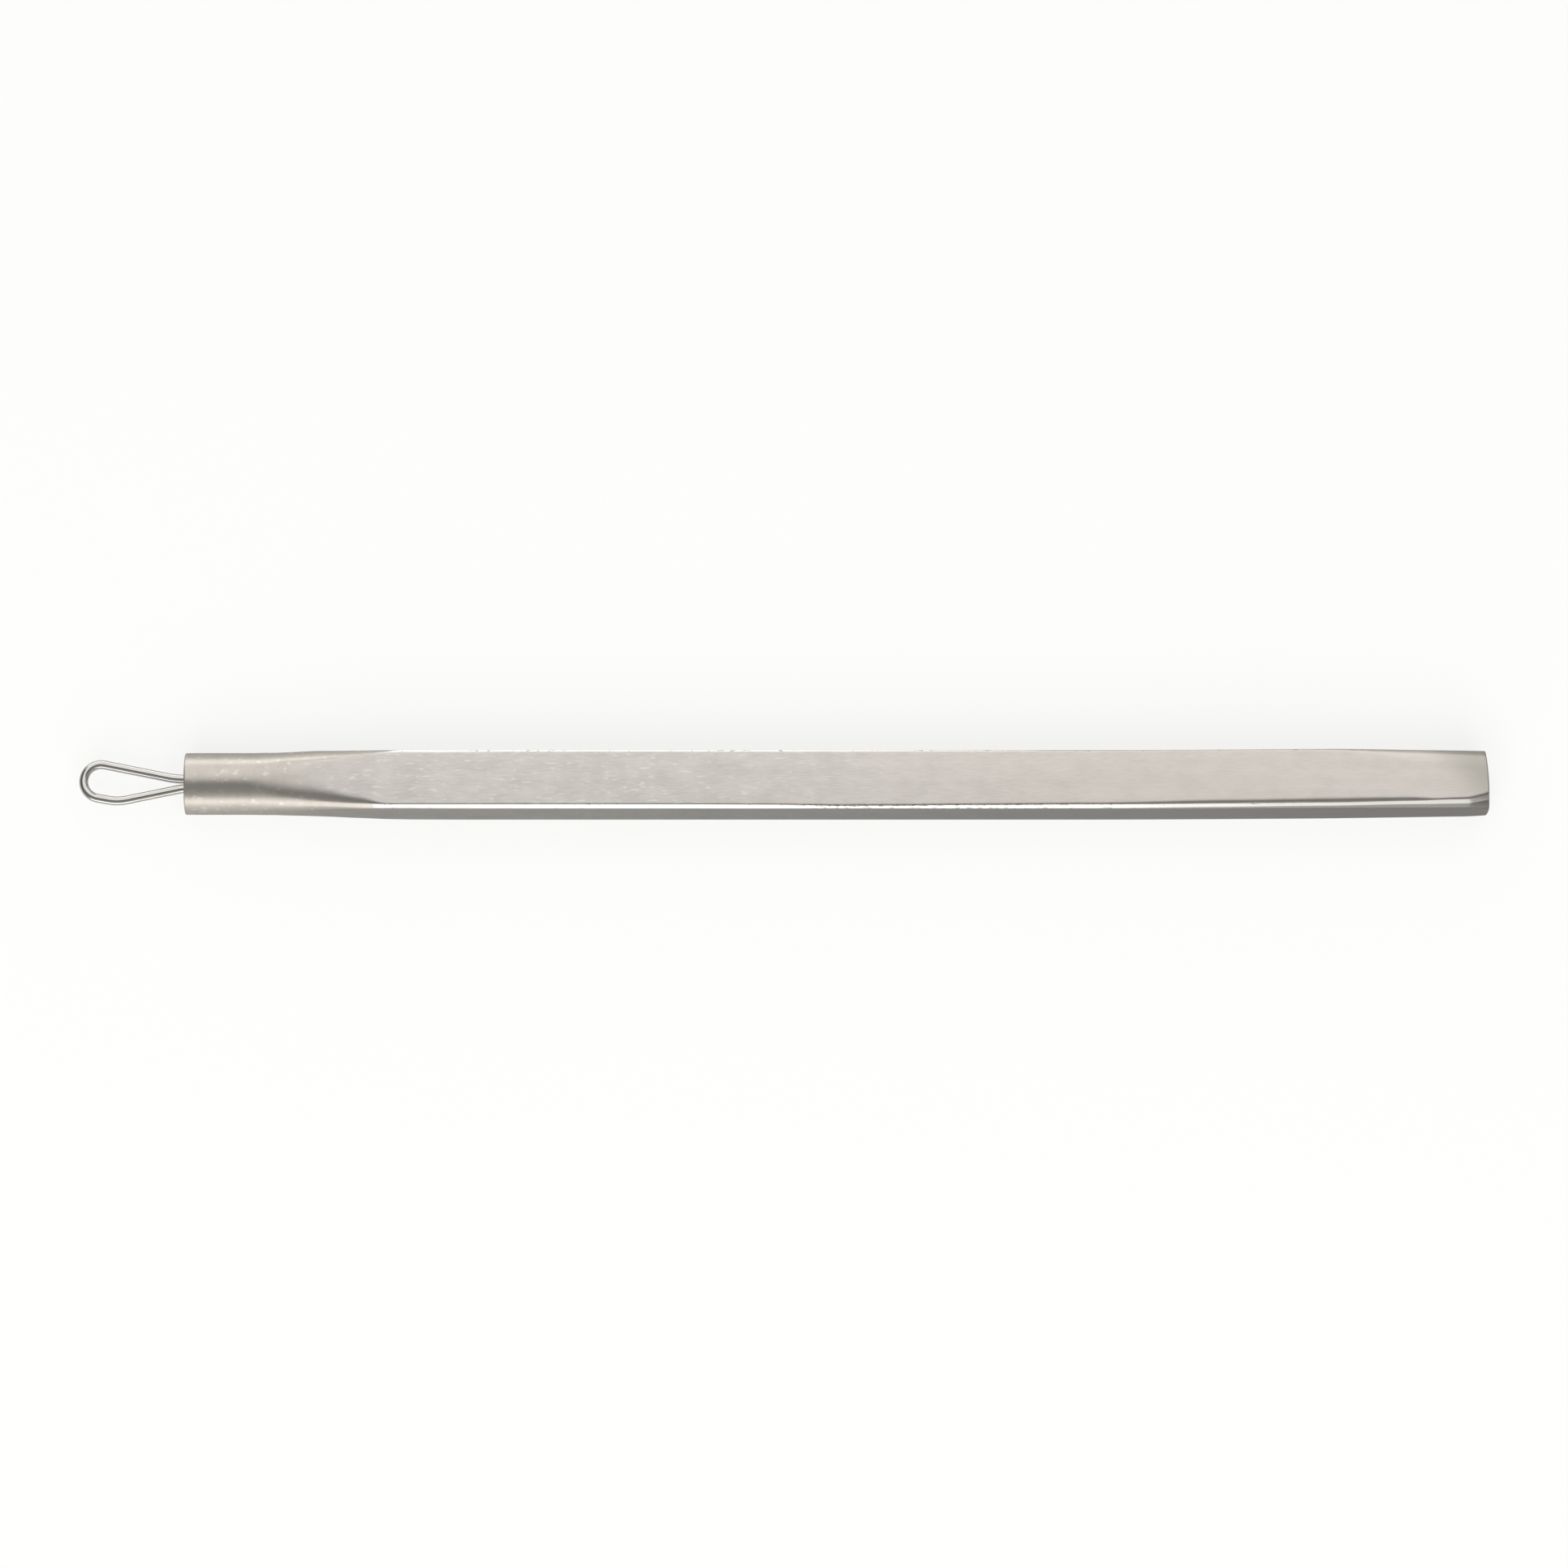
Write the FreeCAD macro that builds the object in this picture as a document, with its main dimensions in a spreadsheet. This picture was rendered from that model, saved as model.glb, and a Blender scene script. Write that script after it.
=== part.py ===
import FreeCAD, Part
import Sketcher
import math
import os

# Comedone extractor: a square steel handle, turned round at its nose, with a bent wire loop soldered in.
# Millimetres. +X runs from the loop to the butt, +Z is up, and the tool lies on its side, the loop flat.

# Each size is written once: name, value, what it measures.
SIZES = [
    ("handle_length", 95.0, "nose face to the top of the domed butt"),
    ("bar_side", 4.35, "across the flats of the square bar"),
    ("corner_chamfer", 0.3, "leg of the chamfer along the bar's long corners"),
    ("nose_diameter", 4.5, "turned round part that carries the loop"),
    ("nose_length", 6.4, "nose face to where the taper starts"),
    ("nose_root", 2.0, "how far the nose's core and the bar reach into each other"),
    ("taper_angle", 4.1, "half angle of the taper from the nose out to the bar's corners"),
    ("butt_rim_diameter", 4.95, "turned corners at the butt's rim"),
    ("butt_facet_length", 1.5, "steep part of the butt's turned corners"),
    ("butt_facet_angle", 8.0, "slope of that steep part"),
    ("butt_relief_angle", 1.8, "slope of the long gentle part before it"),
    ("butt_dome_radius", 18.0, "dome of the butt's end face"),
    ("edge_round", 0.12, "rounding of the rims of both end faces"),
    ("wire_diameter", 0.65, "round wire of the loop"),
    ("loop_reach", 7.75, "nose face to the outside of the loop's tip"),
    ("tip_radius", 1.25, "bend of the wire's centre line round the loop's tip"),
    ("tip_offset", 0.12, "how far the tip's centre lies off the handle's axis, to the back"),
    ("flank_length", 1.2, "straight stretch after the tip, on the front leg alone"),
    ("flank_angle", 10.5, "how far that stretch still spreads outward"),
    ("shoulder_radius", 2.0, "bend from that stretch into the front leg"),
    ("back_mouth_radius", 6.0, "bend where the back leg straightens to enter the bore"),
    ("front_mouth_radius", 1.5, "bend where the front leg straightens to enter the bore"),
    ("leg_gap", 0.15, "between the two legs in the bore"),
    ("leg_depth", 7.0, "how deep the legs reach into the nose"),
    ("bore_clearance", 0.03, "between a leg and the wall of the bore"),
    ("bore_run", 0.6, "how far the bore's straight wall runs past the legs"),
    ("drill_point_angle", 118.0, "full angle of the cone at the bore's end"),
    ("solder_cap", 0.12, "height of the solder's bead above the nose face"),
    ("cutter_overrun", 1.0, "how far a cut starts outside the metal"),
]

# Radii and places that follow from the sizes.
BAR_HALF = "Sizes.bar_side / 2"
NOSE_RADIUS = "Sizes.nose_diameter / 2"
WIRE_RADIUS = "Sizes.wire_diameter / 2"
LEG_OFFSET = "(Sizes.wire_diameter + Sizes.leg_gap) / 2"
BORE_RADIUS = "Sizes.wire_diameter + Sizes.leg_gap / 2 + Sizes.bore_clearance"
BORE_DEPTH = "Sizes.leg_depth + Sizes.bore_run"
BORE_POINT = f"{BORE_DEPTH} + ({BORE_RADIUS}) / tan(Sizes.drill_point_angle / 2)"
TIP_CENTRE = f"Sizes.tip_radius + {WIRE_RADIUS} - Sizes.loop_reach"
CUTTER_RADIUS = "Sizes.bar_side + Sizes.nose_diameter"

AXIS = "0"
FULL_TURN = 360
CORNER, UP, BACK, DOWN = 45, 90, 180, 270
ALONG = FreeCAD.Vector(1, 0, 0)
NORMAL = FreeCAD.Vector(0, 0, 1)
TOLERANCE = 1e-6


def new_sheet(doc):
    """The driving sizes, one row each, with the name as the cell's alias."""
    sheet = doc.addObject("Spreadsheet::Sheet", "Sizes")
    for row, (name, value, meaning) in enumerate(SIZES, start=1):
        sheet.set(f"A{row}", meaning)
        sheet.set(f"B{row}", str(value))
        sheet.setAlias(f"B{row}", name)
    doc.recompute()
    return sheet


def value_of(owner, expression):
    """An expression's present value, for a first guess or a comparison."""
    return float(owner.Document.Sizes.evalExpression(expression))


def new_body(doc, label):
    """A body in the tool's own frame: X along the bar's axis, from the centre of the nose face."""
    body = doc.addObject("PartDesign::Body", label)
    body.Label = label
    body.setExpression("Placement.Base.x", "(Sizes.loop_reach - Sizes.handle_length) / 2")
    body.setExpression("Placement.Base.z", "max(Sizes.bar_side; Sizes.nose_diameter) / 2")
    return body


def new_sketch(body, name, role, offset=None):
    """A sketch on one of the body's own origin planes, moved along its normal by an expression."""
    sketch = body.newObject("Sketcher::SketchObject", name)
    plane = next(item for item in body.Origin.OriginFeatures if item.Role == role)
    sketch.AttachmentSupport = [(plane, "")]
    sketch.MapMode = "FlatFace"
    if offset:
        sketch.setExpression("AttachmentOffset.Base.z", offset)
    return sketch


def profile_sketch(body, name):
    """A profile to be turned. It lies in the plane of a bar's corner, so the seam falls there."""
    sketch = new_sketch(body, name, "XZ_Plane")
    sketch.AttachmentOffset = FreeCAD.Placement(FreeCAD.Vector(), FreeCAD.Rotation(ALONG, CORNER))
    return sketch


def drive(sketch, kind, name, expression, *where):
    """One named dimension of a sketch, bound to the sheet."""
    index = sketch.addConstraint(Sketcher.Constraint(kind, *where, value_of(sketch, expression)))
    sketch.renameConstraint(index, name)
    sketch.setExpression(f"Constraints.{name}", expression)


def pin_point(sketch, name, geometry, end, x, y):
    """Fixes a point by its distances from the sketch's origin, or puts it on an axis."""
    for kind, axis, expression in (("DistanceX", -2, x), ("DistanceY", -1, y)):
        if expression == AXIS:
            sketch.addConstraint(Sketcher.Constraint("PointOnObject", geometry, end, axis))
        else:
            drive(sketch, kind, f"{name}_{kind[-1].lower()}", expression, -1, 1, geometry, end)


def segment(sketch, start, end):
    return sketch.addGeometry(Part.LineSegment(start, end))


def arc(sketch, centre, radius, start, end):
    """An arc, anticlockwise between two directions in degrees."""
    whole = Part.Circle(centre, NORMAL, radius)
    return sketch.addGeometry(Part.ArcOfCircle(whole, math.radians(start), math.radians(end)))


def polar(centre, radius, direction):
    turn = math.radians(direction)
    return centre + FreeCAD.Vector(math.cos(turn), math.sin(turn), 0) * radius


def outline(sketch, corners, closed=True):
    """Straight lines from corner to corner. Each corner is a name and two expressions."""
    points = [FreeCAD.Vector(value_of(sketch, x), value_of(sketch, y), 0) for _, x, y in corners]
    ends = points[1:] + points[:1] if closed else points[1:]
    lines = [segment(sketch, start, end) for start, end in zip(points, ends)]
    following = lines[1:] + lines[:1] if closed else lines[1:]
    for line, after in zip(lines, following):
        sketch.addConstraint(Sketcher.Constraint("Coincident", line, 2, after, 1))
    for line, (name, x, y) in zip(lines, corners):
        pin_point(sketch, name, line, 1, x, y)
    if not closed:
        pin_point(sketch, corners[-1][0], lines[-1], 2, *corners[-1][1:])
    return lines


def dome(sketch, centre_x, radius, start, end, meets_start, meets_end):
    """Closes an open outline with an arc about a centre on the sketch's X axis."""
    index = arc(sketch, FreeCAD.Vector(centre_x, 0, 0), radius, start, end)
    sketch.addConstraint(Sketcher.Constraint("Coincident", index, 1, *meets_start))
    sketch.addConstraint(Sketcher.Constraint("Coincident", index, 2, *meets_end))
    sketch.addConstraint(Sketcher.Constraint("PointOnObject", index, 3, -1))


def circle(sketch, name, x, y, radius):
    centre = FreeCAD.Vector(value_of(sketch, x), value_of(sketch, y), 0)
    index = sketch.addGeometry(Part.Circle(centre, NORMAL, value_of(sketch, radius)))
    drive(sketch, "Radius", f"{name}_radius", radius, index)
    pin_point(sketch, name, index, 3, x, y)


def turned(body, kind, name, sketch):
    """A revolution or groove: the sketch turned once round the bar's axis."""
    feature = body.newObject(kind, name)
    feature.Profile = sketch
    feature.ReferenceAxis = (sketch, ["H_Axis"])
    feature.Angle = FULL_TURN
    body.Document.recompute()
    return feature


def extruded(body, kind, name, sketch, length, reverse=False):
    """A pad or pocket of a sketch, its length an expression."""
    feature = body.newObject(kind, name)
    feature.Profile = sketch
    feature.Reversed = reverse
    feature.setExpression("Length", length)
    body.Document.recompute()
    return feature


def dressed(body, kind, name, base, wanted, size_name, size):
    """A chamfer or fillet on the edges of the base that a test picks out."""
    names = [f"Edge{i}" for i, edge in enumerate(base.Shape.Edges, start=1) if wanted(edge)]
    feature = body.newObject(kind, name)
    feature.Base = (base, names)
    feature.setExpression(size_name, size)
    body.Document.recompute()
    return feature


def must_change(before, after, grows):
    """A cut or pad that misses its solid shows no error, so the volume is compared."""
    change = after.Shape.Volume - before.Shape.Volume
    if (change > 0) != grows or abs(change) < TOLERANCE:
        raise ValueError(f"{after.Label} left the volume as it was, or moved it the wrong way")
    return after


# The handle: a chamfered square bar, tapered down by turning to a round nose, its butt domed.

def along_the_bar(edge):
    """True for the bar's four long corners."""
    return abs(edge.BoundBox.XLength - edge.Length) < TOLERANCE


def handle_bar(body):
    """The square bar. It starts inside the nose, where the taper keeps it under the round surface."""
    section = new_sketch(body, "bar_section", "YZ_Plane", "Sizes.nose_length - Sizes.nose_root")
    outline(section, [
        ("low_left", f"-({BAR_HALF})", f"-({BAR_HALF})"),
        ("low_right", BAR_HALF, f"-({BAR_HALF})"),
        ("high_right", BAR_HALF, BAR_HALF),
        ("high_left", f"-({BAR_HALF})", BAR_HALF),
    ])
    length = "Sizes.handle_length - Sizes.nose_length + Sizes.nose_root"
    bar = extruded(body, "PartDesign::Pad", "bar", section, length)
    size = "Sizes.corner_chamfer"
    corners = dressed(body, "PartDesign::Chamfer", "bar_corners", bar, along_the_bar, "Size", size)
    return must_change(bar, corners, False)


def handle_taper(body, before):
    """Turns the corners down to a cone that meets the nose's radius where the nose ends."""
    start = "Sizes.nose_length - Sizes.nose_root - Sizes.cutter_overrun"
    drop = "(Sizes.nose_root + Sizes.cutter_overrun) * tan(Sizes.taper_angle)"
    rise = f"(({CUTTER_RADIUS}) - {NOSE_RADIUS}) / tan(Sizes.taper_angle)"
    profile = profile_sketch(body, "taper_profile")
    outline(profile, [
        ("low", start, f"{NOSE_RADIUS} - {drop}"),
        ("far", f"Sizes.nose_length + {rise}", CUTTER_RADIUS),
        ("outer", start, CUTTER_RADIUS),
    ])
    return must_change(before, turned(body, "PartDesign::Groove", "taper", profile), False)


def handle_dome(body, before):
    """Domes the butt's end face and rounds its rim along the four flats."""
    length = "Sizes.handle_length"
    dome_radius = "Sizes.butt_dome_radius"
    clear_x = f"{length} + Sizes.cutter_overrun"
    reach = "Sizes.bar_side"
    profile = profile_sketch(body, "dome_profile")
    lines = outline(profile, [
        ("low", f"{length} - {dome_radius} + sqrt({dome_radius} ^ 2 - {reach} ^ 2)", reach),
        ("outer", clear_x, reach),
        ("clear", clear_x, AXIS),
        ("pole", length, AXIS),
    ], closed=False)
    radius = value_of(profile, dome_radius)
    rise = math.degrees(math.asin(value_of(profile, reach) / radius))
    centre = value_of(profile, f"{length} - {dome_radius}")
    dome(profile, centre, radius, 0, rise, (lines[-1], 2), (lines[0], 1))
    domed = must_change(before, turned(body, "PartDesign::Groove", "butt_dome", profile), False)

    flat_width = value_of(body, "Sizes.bar_side - 2 * Sizes.corner_chamfer")
    middle = value_of(body, f"{length} / 2")

    def is_rim(edge):
        return edge.BoundBox.XMin > middle and edge.Length > flat_width - TOLERANCE

    rim = dressed(body, "PartDesign::Fillet", "flat_rims", domed, is_rim, "Radius", "Sizes.edge_round")
    return must_change(domed, rim, False)


def handle_butt(body, before):
    """Turns the butt's corners: a long gentle relief, a short steep facet, then a rounded rim."""
    rim = "Sizes.butt_rim_diameter / 2"
    dome_radius = "Sizes.butt_dome_radius"
    dome_centre = f"Sizes.handle_length - {dome_radius}"
    rim_x = f"{dome_centre} + sqrt({dome_radius} ^ 2 - ({rim}) ^ 2)"
    facet_x = f"{rim_x} - Sizes.butt_facet_length"
    facet_r = f"{rim} + Sizes.butt_facet_length * tan(Sizes.butt_facet_angle)"
    relief_x = f"{facet_x} - (({CUTTER_RADIUS}) - ({facet_r})) / tan(Sizes.butt_relief_angle)"
    clear_x = "Sizes.handle_length + Sizes.cutter_overrun"
    profile = profile_sketch(body, "butt_profile")
    lines = outline(profile, [
        ("facet", facet_x, facet_r),
        ("relief", relief_x, CUTTER_RADIUS),
        ("outer", clear_x, CUTTER_RADIUS),
        ("clear", clear_x, AXIS),
        ("pole", "Sizes.handle_length", AXIS),
    ], closed=False)
    corner = FreeCAD.Vector(value_of(profile, rim_x), value_of(profile, rim), 0)
    edge_round = value_of(profile, "Sizes.edge_round")
    radius = value_of(profile, dome_radius)
    rise = math.degrees(math.asin(corner.y / radius))
    steep = UP - value_of(profile, "Sizes.butt_facet_angle")
    facet_end = FreeCAD.Vector(value_of(profile, facet_x), value_of(profile, facet_r), 0)
    face = arc(profile, FreeCAD.Vector(value_of(profile, dome_centre), 0, 0), radius, 0, rise)
    rounding = arc(profile, polar(corner, edge_round, DOWN - steep), edge_round, rise, steep)
    facet = segment(profile, corner, facet_end)
    sharp = profile.addGeometry(Part.Point(corner), True)
    pin_point(profile, "sharp", sharp, 1, rim_x, rim)
    profile.addConstraint(Sketcher.Constraint("PointOnObject", sharp, 1, facet))
    profile.addConstraint(Sketcher.Constraint("PointOnObject", face, 3, -1))
    drive(profile, "Radius", "dome_radius", dome_radius, face)
    drive(profile, "Radius", "rounding_radius", "Sizes.edge_round", rounding)
    profile.addConstraint(Sketcher.Constraint("Coincident", face, 1, lines[-1], 2))
    profile.addConstraint(Sketcher.Constraint("Tangent", face, 2, rounding, 1))
    profile.addConstraint(Sketcher.Constraint("Tangent", rounding, 2, facet, 1))
    profile.addConstraint(Sketcher.Constraint("Coincident", facet, 2, lines[0], 1))
    return must_change(before, turned(body, "PartDesign::Groove", "butt", profile), False)


def handle_nose(body, before):
    """The round nose. Inside the bar its core narrows at the taper's angle, so no step shows."""
    root_x = "Sizes.nose_length + Sizes.nose_root"
    profile = profile_sketch(body, "nose_profile")
    outline(profile, [
        ("centre", AXIS, AXIS),
        ("face", AXIS, NOSE_RADIUS),
        ("shoulder", "Sizes.nose_length", NOSE_RADIUS),
        ("root", root_x, f"{NOSE_RADIUS} - Sizes.nose_root * tan(Sizes.taper_angle)"),
        ("core", root_x, AXIS),
    ])
    return must_change(before, turned(body, "PartDesign::Revolution", "nose", profile), True)


def handle_bore(body, before):
    """The drilled hole that takes both legs of the wire."""
    centre = new_sketch(body, "bore_centre", "YZ_Plane")
    circle(centre, "bore", AXIS, AXIS, BORE_RADIUS)
    body.Document.recompute()
    bore = body.newObject("PartDesign::Hole", "bore")
    bore.Profile = centre
    bore.Reversed = True
    bore.DepthType = "Dimension"
    bore.DrillPoint = "Angled"
    bore.setExpression("Diameter", f"2 * ({BORE_RADIUS})")
    bore.setExpression("Depth", BORE_DEPTH)
    bore.setExpression("DrillPointAngle", "Sizes.drill_point_angle")
    body.Document.recompute()
    return must_change(before, bore, False)


def handle_nose_rim(body, before):
    """Rounds the outer rim of the nose face."""
    nose_radius = value_of(body, NOSE_RADIUS)

    def is_rim(edge):
        return edge.BoundBox.XMax < TOLERANCE and edge.BoundBox.YMax > nose_radius - TOLERANCE

    rim = dressed(body, "PartDesign::Fillet", "nose_rim", before, is_rim, "Radius", "Sizes.edge_round")
    return must_change(before, rim, False)


def make_handle(doc):
    body = new_body(doc, "handle")
    shape = handle_bar(body)
    for operation in (handle_dome, handle_butt, handle_taper, handle_nose, handle_bore, handle_nose_rim):
        shape = operation(body, shape)
    return body


# The loop: one length of round wire, bent to a teardrop, its two legs side by side in the bore.

def loop_path(body):
    """The wire's centre line, from the end of the back leg round the tip to the end of the front leg."""
    path = new_sketch(body, "loop_path", "XY_Plane")
    offset = value_of(path, LEG_OFFSET)
    depth = value_of(path, "Sizes.leg_depth")
    tip = FreeCAD.Vector(value_of(path, TIP_CENTRE), value_of(path, "Sizes.tip_offset"), 0)
    tip_radius = value_of(path, "Sizes.tip_radius")
    flank_angle = value_of(path, "Sizes.flank_angle")
    shoulder_radius = value_of(path, "Sizes.shoulder_radius")
    back_exit = FreeCAD.Vector(-value_of(path, "Sizes.solder_cap"), offset, 0)
    front_exit = FreeCAD.Vector(back_exit.x, -offset, 0)

    # The legs' slope is only guessed here. The tangent constraints then settle it.
    slope = math.degrees(math.atan2(tip_radius - offset, back_exit.x - tip.x))
    back_bend = polar(back_exit, value_of(path, "Sizes.back_mouth_radius"), UP)
    front_bend = polar(front_exit, value_of(path, "Sizes.front_mouth_radius"), DOWN)
    flank_start = polar(tip, tip_radius, DOWN - flank_angle)
    flank_end = polar(flank_start, value_of(path, "Sizes.flank_length"), -flank_angle)
    shoulder = polar(flank_end, shoulder_radius, UP - flank_angle)

    back_in_bore = segment(path, polar(back_exit, depth, 0), back_exit)
    back_mouth = arc(path, back_bend, back_bend.y - offset, DOWN - slope, DOWN)
    back_leg = segment(path, back_exit, polar(tip, tip_radius, UP - slope))
    tip_arc = arc(path, tip, tip_radius, UP - slope, DOWN - flank_angle)
    flank = segment(path, flank_start, flank_end)
    shoulder_arc = arc(path, shoulder, shoulder_radius, DOWN - flank_angle, DOWN + slope)
    front_leg = segment(path, polar(shoulder, shoulder_radius, DOWN + slope), front_exit)
    front_mouth = arc(path, front_bend, -offset - front_bend.y, UP, UP + slope)
    front_in_bore = segment(path, front_exit, polar(front_exit, depth, 0))

    joins = [
        (back_in_bore, 2, back_mouth, 2),
        (back_mouth, 1, back_leg, 1),
        (back_leg, 2, tip_arc, 1),
        (tip_arc, 2, flank, 1),
        (flank, 2, shoulder_arc, 1),
        (shoulder_arc, 2, front_leg, 1),
        (front_leg, 2, front_mouth, 2),
        (front_mouth, 1, front_in_bore, 1),
    ]
    for join in joins:
        path.addConstraint(Sketcher.Constraint("Tangent", *join))
    pin_point(path, "back_end", back_in_bore, 1, "Sizes.leg_depth", LEG_OFFSET)
    pin_point(path, "back_exit", back_in_bore, 2, "-Sizes.solder_cap", LEG_OFFSET)
    pin_point(path, "front_exit", front_in_bore, 1, "-Sizes.solder_cap", f"-({LEG_OFFSET})")
    pin_point(path, "front_end", front_in_bore, 2, "Sizes.leg_depth", f"-({LEG_OFFSET})")
    pin_point(path, "tip_centre", tip_arc, 3, TIP_CENTRE, "Sizes.tip_offset")
    drive(path, "Radius", "tip_radius", "Sizes.tip_radius", tip_arc)
    drive(path, "Radius", "shoulder_radius", "Sizes.shoulder_radius", shoulder_arc)
    drive(path, "Radius", "back_mouth_radius", "Sizes.back_mouth_radius", back_mouth)
    drive(path, "Radius", "front_mouth_radius", "Sizes.front_mouth_radius", front_mouth)
    drive(path, "DistanceX", "flank_run", "Sizes.flank_length * cos(Sizes.flank_angle)", flank, 1, flank, 2)
    drive(path, "DistanceY", "flank_rise", "Sizes.flank_length * sin(Sizes.flank_angle)", flank, 2, flank, 1)
    return path


def make_wire_loop(doc):
    body = new_body(doc, "wire_loop")
    path = loop_path(body)
    section = new_sketch(body, "wire_section", "YZ_Plane", "Sizes.leg_depth")
    circle(section, "wire", LEG_OFFSET, AXIS, WIRE_RADIUS)
    doc.recompute()
    wire = body.newObject("PartDesign::AdditivePipe", "bent_wire")
    wire.Profile = section
    wire.Spine = (path, [f"Edge{i}" for i, _ in enumerate(path.Shape.Edges, start=1)])
    return body


# The solder: it fills the bore round both legs and stands up in a low bead at the mouth.

def make_solder_fill(doc):
    body = new_body(doc, "solder_fill")
    profile = profile_sketch(body, "solder_profile")
    lines = outline(profile, [
        ("mouth", AXIS, BORE_RADIUS),
        ("wall_end", BORE_DEPTH, BORE_RADIUS),
        ("point", BORE_POINT, AXIS),
        ("bead_top", "-Sizes.solder_cap", AXIS),
    ], closed=False)
    cap = value_of(profile, "Sizes.solder_cap")
    mouth = value_of(profile, BORE_RADIUS)
    radius = (mouth ** 2 + cap ** 2) / (2 * cap)
    drop = math.degrees(math.asin(mouth / radius))
    dome(profile, radius - cap, radius, BACK - drop, BACK, (lines[0], 1), (lines[-1], 2))
    plug = turned(body, "PartDesign::Revolution", "solder_plug", profile)

    legs = new_sketch(body, "leg_holes", "YZ_Plane", "-Sizes.solder_cap - Sizes.cutter_overrun")
    circle(legs, "back_leg", LEG_OFFSET, AXIS, WIRE_RADIUS)
    circle(legs, "front_leg", f"-({LEG_OFFSET})", AXIS, WIRE_RADIUS)
    depth = "Sizes.leg_depth + Sizes.solder_cap + Sizes.cutter_overrun"
    holes = extruded(body, "PartDesign::Pocket", "round_the_legs", legs, depth, reverse=True)
    must_change(plug, holes, False)
    return body


def check(doc, bodies):
    """Stops on anything that failed to compute, before a file is written."""
    for item in doc.Objects:
        if "Invalid" in item.State or "Error" in item.State:
            raise ValueError(f"{item.Label} did not compute: {item.State}")
    for body in bodies:
        shape = body.Shape
        if shape.isNull() or not shape.isValid() or len(shape.Solids) != 1:
            raise ValueError(f"{body.Label} is not one valid solid")
        print(body.Label, "volume", round(shape.Volume, 4), "mm3")


def main():
    doc = FreeCAD.newDocument("comedone_extractor")
    new_sheet(doc)
    bodies = [make_handle(doc), make_wire_loop(doc), make_solder_fill(doc)]
    doc.recompute()
    check(doc, bodies)
    os.makedirs("parts", exist_ok=True)
    for body in bodies:
        body.Shape.exportStep(f"parts/{body.Label}.step")


main()
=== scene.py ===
import math

import bmesh
import bpy
from mathutils import Matrix, Vector, noise


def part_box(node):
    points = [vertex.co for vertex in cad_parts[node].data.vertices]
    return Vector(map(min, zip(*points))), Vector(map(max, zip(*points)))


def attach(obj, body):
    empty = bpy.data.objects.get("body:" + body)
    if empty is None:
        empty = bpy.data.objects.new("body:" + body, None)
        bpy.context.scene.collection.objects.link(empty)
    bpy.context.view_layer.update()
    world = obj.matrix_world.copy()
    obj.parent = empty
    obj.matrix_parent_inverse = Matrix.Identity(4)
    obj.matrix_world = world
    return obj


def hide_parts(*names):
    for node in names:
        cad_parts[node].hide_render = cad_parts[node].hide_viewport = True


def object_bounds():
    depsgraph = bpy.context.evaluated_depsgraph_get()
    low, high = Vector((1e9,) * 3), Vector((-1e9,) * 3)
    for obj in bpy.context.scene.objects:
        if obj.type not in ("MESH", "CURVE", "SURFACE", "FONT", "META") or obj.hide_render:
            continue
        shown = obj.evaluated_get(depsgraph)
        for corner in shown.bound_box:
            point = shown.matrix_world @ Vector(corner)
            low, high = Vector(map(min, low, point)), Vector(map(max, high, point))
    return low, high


# Comedone extractor: a square steel bar, turned round at its nose, with a teardrop of wire soldered in.
# Sizes are in millimetres along the tool: x runs from the nose face to the butt, y to the back, z up.

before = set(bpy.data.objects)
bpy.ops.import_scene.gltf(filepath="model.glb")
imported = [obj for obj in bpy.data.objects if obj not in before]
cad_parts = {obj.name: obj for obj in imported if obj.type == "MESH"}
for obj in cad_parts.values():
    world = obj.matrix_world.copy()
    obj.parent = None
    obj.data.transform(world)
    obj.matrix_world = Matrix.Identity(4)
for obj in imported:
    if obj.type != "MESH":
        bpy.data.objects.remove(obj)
cadLow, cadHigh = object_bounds()

millimetre = 0.001
handleLow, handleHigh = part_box("handle")
noseFace = handleLow.x
axisHeight = (handleLow.z + handleHigh.z) / 2
weldDistance = 1e-8
noiseMiddle = 0.5
quarter = math.pi / 2
diagonal = math.pi / 4


def inRow(x, y, z):
    # from the tool's own millimetres to the scene's metres
    return Vector((noseFace + x * millimetre, y * millimetre, axisHeight + z * millimetre))


# Shader nodes

class Socket:
    # a node's output, so that shader maths can be written as sums

    def __init__(self, graph, out):
        self.graph = graph
        self.out = out

    def maths(self, operation, first, second):
        return self.graph.node("ShaderNodeMath", {"operation": operation}, {0: first, 1: second})

    def __add__(self, other):
        return self.maths("ADD", self, other)

    def __sub__(self, other):
        return self.maths("SUBTRACT", self, other)

    def __rsub__(self, other):
        return self.maths("SUBTRACT", other, self)

    def __mul__(self, other):
        return self.maths("MULTIPLY", self, other)

    __radd__ = __add__
    __rmul__ = __mul__

    def size(self):
        return self.maths("ABSOLUTE", self, 0.0)

    def between(self, low, high):
        # 0 at the low value, 1 at the high one, smooth between, and the low value may be the larger
        settings = {"interpolation_type": "SMOOTHSTEP"}
        sockets = {"Value": self, "From Min": low, "From Max": high}
        return self.graph.node("ShaderNodeMapRange", settings, sockets)


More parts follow.
